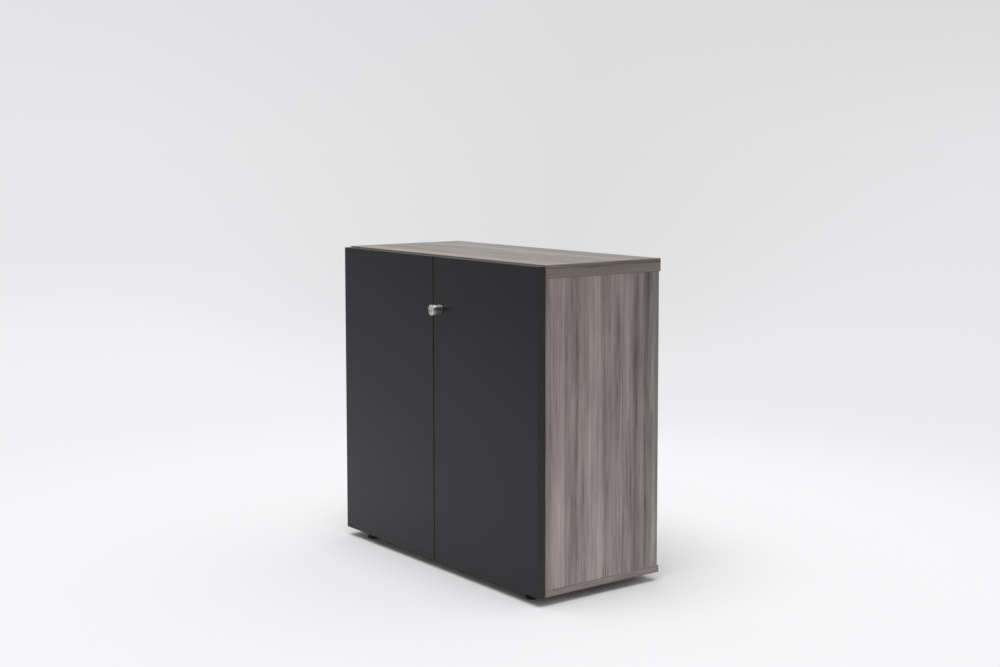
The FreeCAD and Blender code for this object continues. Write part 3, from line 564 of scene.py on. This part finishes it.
def keyway_grid(centre, depth_rows):
    """The cylinder's face and its keyway: rows run from the face's edge inward to the slot's outline, then down its
    walls to the bottom and in to its middle. The slot is a rectangle whose sides jog with a sine of the height."""
    turn_by = np.linspace(0, 2 * np.pi, cylinder_steps, endpoint=False)
    spread = np.arctan2(keyway_tall * np.sin(turn_by), keyway_half * long_sides * np.cos(turn_by))
    out = np.stack([np.cos(spread), np.sin(spread)], -1)
    to_side = keyway_half / np.maximum(np.abs(out[:, 0]), 1e-9)
    to_end = keyway_tall / np.maximum(np.abs(out[:, 1]), 1e-9)
    slot_line = out * np.minimum(to_side, to_end)[:, None]
    inside = np.clip(1 - np.abs(slot_line[:, 1]) / keyway_tall, 0, 1)
    slot_line[:, 0] += ward * np.sin(slot_line[:, 1] / keyway_tall * 2 * np.pi) * (inside > 0)
    disc = out * cylinder_r
    face = disc * face_share
    rows = [(disc * back_share, cylinder_long), (disc, cylinder_long - back_edge), (disc, face_edge), (face, 0.0)]
    rows += [(face * (1 - u) + slot_line * u, 0.0) for u in (0.35, 0.7, 0.985)]
    rows += [(slot_line, deep) for deep in (keyway_ease, *depth_rows)] + [(slot_line * 0.0, keyway_deep)]
    flat_rows = np.stack([line for line, _ in rows])
    deep_rows = np.array([deep for _, deep in rows])[:, None] + 0 * flat_rows[..., 0]
    back = np.zeros((1, cylinder_steps, 3)) + (centre[0], centre[1] + cylinder_long, centre[2])
    front = np.stack([centre[0] + flat_rows[..., 0], centre[1] + deep_rows, centre[2] + flat_rows[..., 1]], -1)
    return np.concatenate([back, front])


cylinder_face = (knob_at[0], knob_low[1] + cylinder_sunk, knob_at[2])
piece("key_cylinder_face", [keyway_grid(cylinder_face, (3.0, 6.0, keyway_deep))],
      satin_nickel("satin_nickel_cylinder", "#E4E3DC", "#F4F3EE", 0.40), "lock_turn", "satin_nickel",
      "key_cylinder")
dress(satin_nickel("satin_nickel_collar", "#C6C5BD", "#DAD9D1", 0.30), "lock_collar")


# ---------------------------------------------------------------- pressed steel hinges
# Concealed hinges of cold-rolled steel, pressed and bright nickel plated: smooth, with faint drawing marks along
# the part and a slightly cloudy plating. The pins are ground bright.
draw_mark_w, draw_mark_deep = 0.4 * MM, 0.02 * MM
draw_mark_run = (1.0, 0.08, 1.0)           # the marks run along y, where this is small
steel_cloud_w = 6 * MM


def plated_steel(name, dark, pale, smooth, rough):
    """Plated sheet or bar with marks drawn out along y, and clouds that change colour and gloss."""
    made, tree, place = blank(name)
    drawn = add(tree, "VectorMath", (place, draw_mark_run), operation="MULTIPLY")
    marks = add(tree, "TexNoise", (drawn, 1 / draw_mark_w, 2.0))
    cloud = add(tree, "TexNoise", (place, 1 / steel_cloud_w, 3.0))
    hue = add(tree, "Mix", (cloud, colour(dark), colour(pale)), data_type="RGBA")
    gloss = add(tree, "MapRange", (cloud, cloud_low, cloud_high, smooth, rough))
    coat(tree, hue, gloss, marks, draw_mark_deep, 0.25, Metallic=1.0)
    return made


hinge_nickel = plated_steel("nickel_plated_steel", "#B9B7B1", "#C9C7C1", 0.26, 0.30)
for hand in ("left", "right"):
    for level in ("upper", "lower"):
        dress(hinge_nickel, *(f"{hand}_{level}_hinge_{part}" for part in ("plate", "arm", "cup")))
    dress(plated_steel(f"ground_steel_{hand}", "#C4C4C2", "#D2D2D0", 0.16, 0.19), f"{hand}_hinge_pins")


# ---------------------------------------------------------------- cams, spindle, rod and keepers
# Die-cast zinc cams with the skin's fine grain; the spindle, the bar with its hooks, the angle keepers, the cam
# bolts and the shelf pins are zinc-plated steel, bluish and faintly spangled.
cast_grain_w, cast_grain_deep, cast_cloud_w = 0.7 * MM, 0.06 * MM, 8 * MM
die_cast, tree, place = blank("die_cast_zinc")
grain = add(tree, "TexNoise", (place, 1 / cast_grain_w, 3.0))
cloud = add(tree, "TexNoise", (place, 1 / cast_cloud_w, 2.0))
hue = add(tree, "Mix", (cloud, colour("#8F9193"), colour("#A9ABAC")), data_type="RGBA")
gloss = add(tree, "MapRange", (grain, cloud_low, cloud_high, 0.42, 0.55))
coat(tree, hue, gloss, grain, cast_grain_deep, 0.4, Metallic=1.0)
dress(die_cast, "cam_housings")

spangle_w, scuff_w, scuff_deep = 1.5 * MM, 0.5 * MM, 0.03 * MM
zinc_plate, tree, place = blank("zinc_plated_steel")
spangles = add(tree, "TexVoronoi", (place, 1 / spangle_w)).outputs["Color"]
spangle = add(tree, "SeparateColor", (spangles,)).outputs[0]
scuffs = add(tree, "TexNoise", (place, 1 / scuff_w, 3.0))
hue = add(tree, "Mix", (spangle, colour("#AFB3B7"), colour("#BBBEC1")), data_type="RGBA")
gloss = add(tree, "MapRange", (spangle, 0.0, 1.0, 0.31, 0.34))
coat(tree, hue, gloss, scuffs, scuff_deep, 0.25, Metallic=1.0)
dress(zinc_plate, "lock_spindle", "lock_rod", "lock_hooks", "upper_keeper", "lower_keeper", "cam_bolts",
      "shelf_pins")


# ---------------------------------------------------------------- cross-recess screws
# Pan-head screws of zinc-plated steel: a low dome with a cross recess, and a rolled thread that tapers to a point
# in board and is cut square on the machine screws that hold the hinge arms.
head_r, head_tall, rim_tall, head_ease = 3.8, 1.5, 0.7, 0.12
recess_deep, arm_half, arm_reach = 1.0, 0.55, 2.3
recess_slope, recess_end_slope = 0.22, 0.4 # how far its walls run out on the way down
thread_root, point_long = 0.72, 3.0        # root's share of the shank's radius; length of the point
rows_a_turn = 5
screw_steps = 48
arm_screw = (2.5, 11.0, 0.8)               # shank's radius, length and pitch
plate_screw = (2.0, 12.0, 1.6)
cup_screw = (1.8, 12.0, 1.5)
ear_screw = (1.8, 10.0, 1.5)


def screw(seat, into, shank_r, long, pitch, pointed=True):
    """A screw as one grid, from the crown outwards, round the rim, in to the shank and down the thread. The dome
    falls with the square of the radius; the recess takes its depth where a point is within half an arm of either
    cross line; the thread's radius peaks once each pitch along a helix."""
    angle = np.linspace(0, 2 * np.pi, screw_steps, endpoint=False)[None]
    rho = np.append(np.linspace(0, arm_reach + 0.3, 12), (3.1, head_r - 0.25, head_r))[:, None]
    crown = head_tall - (head_tall - rim_tall) * (rho / head_r) ** 2
    x, y = np.abs(rho * np.cos(angle)), np.abs(rho * np.sin(angle))
    in_arm = np.clip((arm_half - np.minimum(x, y)) / recess_slope, 0, 1)
    in_reach = np.clip((arm_reach - np.maximum(x, y)) / recess_end_slope, 0, 1)
    crown_rows = np.stack([rho + 0 * angle, crown - recess_deep * (in_arm * in_reach)], -1)
    under = np.array([(head_r, head_ease), (head_r - head_ease, 0.0), (shank_r, 0.0)])
    under_rows = under[:, None] + np.zeros((1, screw_steps, 1))
    down = np.append(np.arange(0.3, long, pitch / rows_a_turn), long)[:, None]
    phase = (down / pitch - angle / (2 * np.pi)) % 1.0
    peak = (1 - np.abs(2 * phase - 1)) ** 2
    thread = shank_r * (thread_root + (1 - thread_root) * peak)
    thread = thread * (np.clip((long - down) / point_long, 0, 1) if pointed else 1.0)
    thread_rows = np.stack([thread, -down + 0 * angle], -1)
    tip = np.stack([0 * angle, -long + 0 * angle], -1)
    rows = np.concatenate([crown_rows, under_rows, thread_rows, tip])
    return carried_round(rows[..., 0], rows[..., 1], angle, seat, -Vector(into))


wing_t = 2.0                               # the plates' wings, on the side's face
plate_screw_half, cup_screw_half = 16.0, 22.5
screw_line = middle("hinge_plate_screws")[0][1]
plate_screws = []
for hand, out_x in (("left", -1), ("right", 1)):
    cup_screws = []
    cup_line = middle(f"{hand}_cup_screws")[0][0]
    for level in ("upper", "lower"):
        plate_mid, plate_low, plate_high = middle(f"{hand}_{level}_hinge_plate")
        arm_mid, arm_low, arm_high = middle(f"{hand}_{level}_hinge_arm")
        cup_mid, _, cup_high = middle(f"{hand}_{level}_hinge_cup")
        wing_x = out_x * (abs(plate_mid[0]) + (plate_high[0] - plate_low[0]) / 2 - wing_t)
        arm_x = out_x * (abs(arm_mid[0]) - (arm_high[0] - arm_low[0]) / 2)
        plate_screws.append(screw((arm_x, screw_line, arm_mid[2]), (out_x, 0, 0), *arm_screw, pointed=False))
        for half in (-1, 1):
            plate_seat = (wing_x, screw_line, plate_mid[2] + half * plate_screw_half)
            cup_seat = (cup_line, cup_high[1], cup_mid[2] + half * cup_screw_half)
            plate_screws.append(screw(plate_seat, (out_x, 0, 0), *plate_screw))
            cup_screws.append(screw(cup_seat, (0, -1, 0), *cup_screw))
    piece(f"{hand}_cup_wood_screws", cup_screws, zinc_plate, f"{hand}_door_leaf", "hinge_steel",
          f"{hand}_cup_screws")
piece("plate_and_arm_screws", plate_screws, zinc_plate, "root", "hinge_steel", "hinge_plate_screws")

ear_t, ear_in = 2.0, 4.0                   # ears of the lock and of the rod guides, and their screws from the ends
guide_half = 6.0
lock_mid, lock_low, lock_high = middle("lock_housing")
_, guide_low, guide_high = middle("rod_guides")
ear_seats = [(x, lock_mid[2]) for x in (lock_low[0] + ear_in, lock_high[0] - ear_in)]
ear_seats += [(x, z) for x in (guide_low[0] + ear_in, guide_high[0] - ear_in)
              for z in (guide_low[2] + guide_half, guide_high[2] - guide_half)]
ear_screws = [screw((x, lock_low[1] + ear_t, z), (0, -1, 0), *ear_screw) for x, z in ear_seats]
piece("lock_wood_screws", ear_screws, zinc_plate, "right_door_leaf", "hinge_steel", "lock_screws")

keeper_t = 2.5
keeper_x, keeper_y, _ = middle("keeper_screws")[0]
keeper_screws = []
for name, up, face in (("upper_keeper", 1, 2), ("lower_keeper", -1, 1)):
    seat_z = middle(name)[face][2] - up * keeper_t
    keeper_screws.append(screw((keeper_x, keeper_y, seat_z), (0, 0, up), *ear_screw))
piece("keeper_wood_screws", keeper_screws, zinc_plate, "root", "hinge_steel", "keeper_screws")


# ---------------------------------------------------------------- black moulded fittings
# Lock housing, rod guides and foot sockets of black glass-filled nylon: a spark-eroded grain of about 0.3 mm, matt,
# with a slightly greyer bloom here and there.
spark_grain_w, spark_grain_deep, bloom_w = 0.3 * MM, 0.05 * MM, 12 * MM
nylon, tree, place = blank("black_nylon")
grain = add(tree, "TexNoise", (place, 1 / spark_grain_w, 2.0))
bloom = add(tree, "TexNoise", (place, 1 / bloom_w, 3.0))
hue = add(tree, "Mix", (bloom, colour("#161617"), colour("#232324")), data_type="RGBA")
gloss = add(tree, "MapRange", (bloom, cloud_low, cloud_high, 0.44, 0.60))
coat(tree, hue, gloss, grain, spark_grain_deep, 0.5, IOR=1.53)
dress(nylon, "lock_housing", "rod_guides", "foot_sockets")


# ---------------------------------------------------------------- levelling feet
# Moulded foot plate with a ribbed edge for the fingers, a sloping shoulder, and a threaded spindle that ends in a
# hexagon hole, turned from above with a key through the bottom board.
plate_t, plate_bevel, plate_ease = 8.0, 1.2, 2.0
shoulder_r, shoulder_top, spindle_edge = 10.0, 17.75, 6.0
foot_spindle_r, foot_pitch, foot_thread_deep = 4.0, 1.25, 0.5
key_half, key_deep = 2.0, 5.0
rib_count, rib_deep, rib_low, rib_fade = 36, 0.35, 1.0, 0.5   # ribs start at rib_low and fade in over rib_fade
edge_low, edge_rows = 1.7, 9
foot_steps = 144


def ribbed(radius, height, angle):
    """The plate's edge is scalloped: its radius falls by a rib's depth between ribs, away from its two faces."""
    above, below = height - rib_low, plate_t - plate_ease - height
    on_edge = np.clip(above, 0, rib_fade) * np.clip(below, 0, rib_fade) / rib_fade ** 2
    on_edge = on_edge * (radius > shoulder_r + 3)
    return radius - rib_deep * on_edge * (0.5 - 0.5 * np.cos(rib_count * angle))


def threaded(radius, height, angle):
    """A rolled thread: the radius dips once each pitch along a helix."""
    phase = (height / foot_pitch - angle / (2 * np.pi)) % 1.0
    return radius - foot_thread_deep * np.abs(2 * phase - 1)


def six_sided(radius, height, angle):
    """A hexagon's outline whose flats lie at the given radius from the axis."""
    return radius / np.cos((angle + np.pi / 6) % (np.pi / 3) - np.pi / 6)


for place_name in ("front_left", "front_right", "rear_left", "rear_right"):
    foot_mid, foot_low, foot_high = middle("foot_" + place_name)
    foot_r = (foot_high[0] - foot_low[0]) / 2
    spindle_top = foot_high[2]
    hole_bottom = spindle_top - key_deep
    outline = filleted([
        (0, 0, 0), (foot_r - plate_bevel, 0, 0.2), (foot_r, plate_bevel, 0.5), (foot_r, plate_t, plate_ease),
        (shoulder_r, plate_t, 0.6), (spindle_edge, shoulder_top, 0.5), (foot_spindle_r, shoulder_top, 0)])
    edge = [(foot_r, height) for height in np.linspace(edge_low, plate_t - plate_ease, edge_rows)]
    outline = np.insert(outline, 3 * ease_steps, edge, 0)   # after its first three corners
    turns = [(foot_spindle_r, height) for height in np.arange(shoulder_top, spindle_top, foot_pitch / rows_a_turn)]
    top_ring = [(foot_spindle_r - foot_thread_deep, spindle_top)]
    hole, pole = [(key_half, spindle_top), (key_half, hole_bottom)], [(0, hole_bottom)]
    stretches = ((outline, ribbed), (turns, threaded), (top_ring, None), (hole, six_sided), (pole, None))
    base = (foot_mid[0], foot_mid[1], 0.0)
    foot = np.concatenate([turned(profile, base, (0, 0, 1), foot_steps, shape) for profile, shape in stretches])
    piece("levelling_foot_" + place_name, [foot], nylon, "leveller_" + place_name, "black_plastic",
          "foot_" + place_name)


# ---------------------------------------------------------------- door bumpers
# Clear polyurethane dots, domed and self-adhesive, where the doors meet the carcass: soft, slightly hazy, and here
# and there a little duller.
haze_w = 1.5 * MM
clear_rubber, tree, place = blank("clear_polyurethane")
haze = add(tree, "TexNoise", (place, 1 / haze_w, 2.0))
gloss = add(tree, "MapRange", (haze, cloud_low, cloud_high, 0.12, 0.30))
hue = add(tree, "Mix", (haze, colour("#DCDDD8"), colour("#EFF0EC")), data_type="RGBA")
coat(tree, hue, gloss, IOR=1.49, Transmission_Weight=0.7)

_, dot_low, dot_high = middle("door_bumpers")
dot_r, dot_t, dot_foot = 4.0, dot_high[1] - dot_low[1], 0.35
dome_fullness = 0.6                        # below 1 the dome is fuller than an ellipse
swell = np.linspace(0, math.pi / 2, 9)
dome_rows = np.stack([dot_r * np.cos(swell) ** dome_fullness, dot_foot + (dot_t - dot_foot) * np.sin(swell)], -1)
dome = np.concatenate([[(0, 0), (dot_r, 0)], dome_rows])
dots = [turned(dome, (x, dot_high[1], z), (0, -1, 0), 40)
        for x in (dot_low[0] + dot_r, dot_high[0] - dot_r) for z in (dot_low[2] + dot_r, dot_high[2] - dot_r)]
piece("soft_dots", dots, clear_rubber, "root", "clear_rubber", "door_bumpers")


# ---------------------------------------------------------------- dowels
# Fluted beech pins glued into the ends of the sides, bevelled at both ends: pale pinkish wood with short brown
# flecks along the pin.
fleck_w, fleck_deep = 0.6 * MM, 0.1 * MM
fleck_run = (1.0, 1.0, 0.12)               # the flecks run along z, where this is small
beech, tree, place = blank("beech")
long_grain = add(tree, "VectorMath", (place, fleck_run), operation="MULTIPLY")
fleck = add(tree, "TexNoise", (long_grain, 1 / fleck_w, 2.0))
flecks = add(tree, "MapRange", (fleck, 0.58, 0.70))
hue = add(tree, "Mix", (flecks, colour("#D2AE84"), colour("#94683F")), data_type="RGBA")
coat(tree, hue, 0.62, fleck, fleck_deep, 0.3)

dowel_r, dowel_long, bevel_in, bevel_long = 4.0, 30.0, 1.0, 1.2
flutes, flute_deep, flute_fade = 16, 0.25, 0.4


def fluted(radius, height, angle):
    """A pin's radius dips at each flute, except towards its bevelled ends."""
    dip = np.clip(radius - (dowel_r - 2 * flute_fade), 0, flute_fade) / flute_fade
    return radius - flute_deep * dip * (0.5 - 0.5 * np.cos(flutes * angle))


_, pin_low, pin_high = middle("dowels")
pin = [(0, 0), (dowel_r - bevel_in, 0), (dowel_r, bevel_long), (dowel_r, dowel_long / 2),
       (dowel_r, dowel_long - bevel_long), (dowel_r - bevel_in, dowel_long), (0, dowel_long)]
pins = [turned(pin, (x, y, z), (0, 0, 1), 96, fluted)
        for x in (pin_low[0] + dowel_r, pin_high[0] - dowel_r)
        for y in (pin_low[1] + dowel_r, pin_high[1] - dowel_r)
        for z in (pin_low[2], pin_high[2] - dowel_long)]
piece("fluted_dowels", pins, beech, "root", "beech", "dowels")
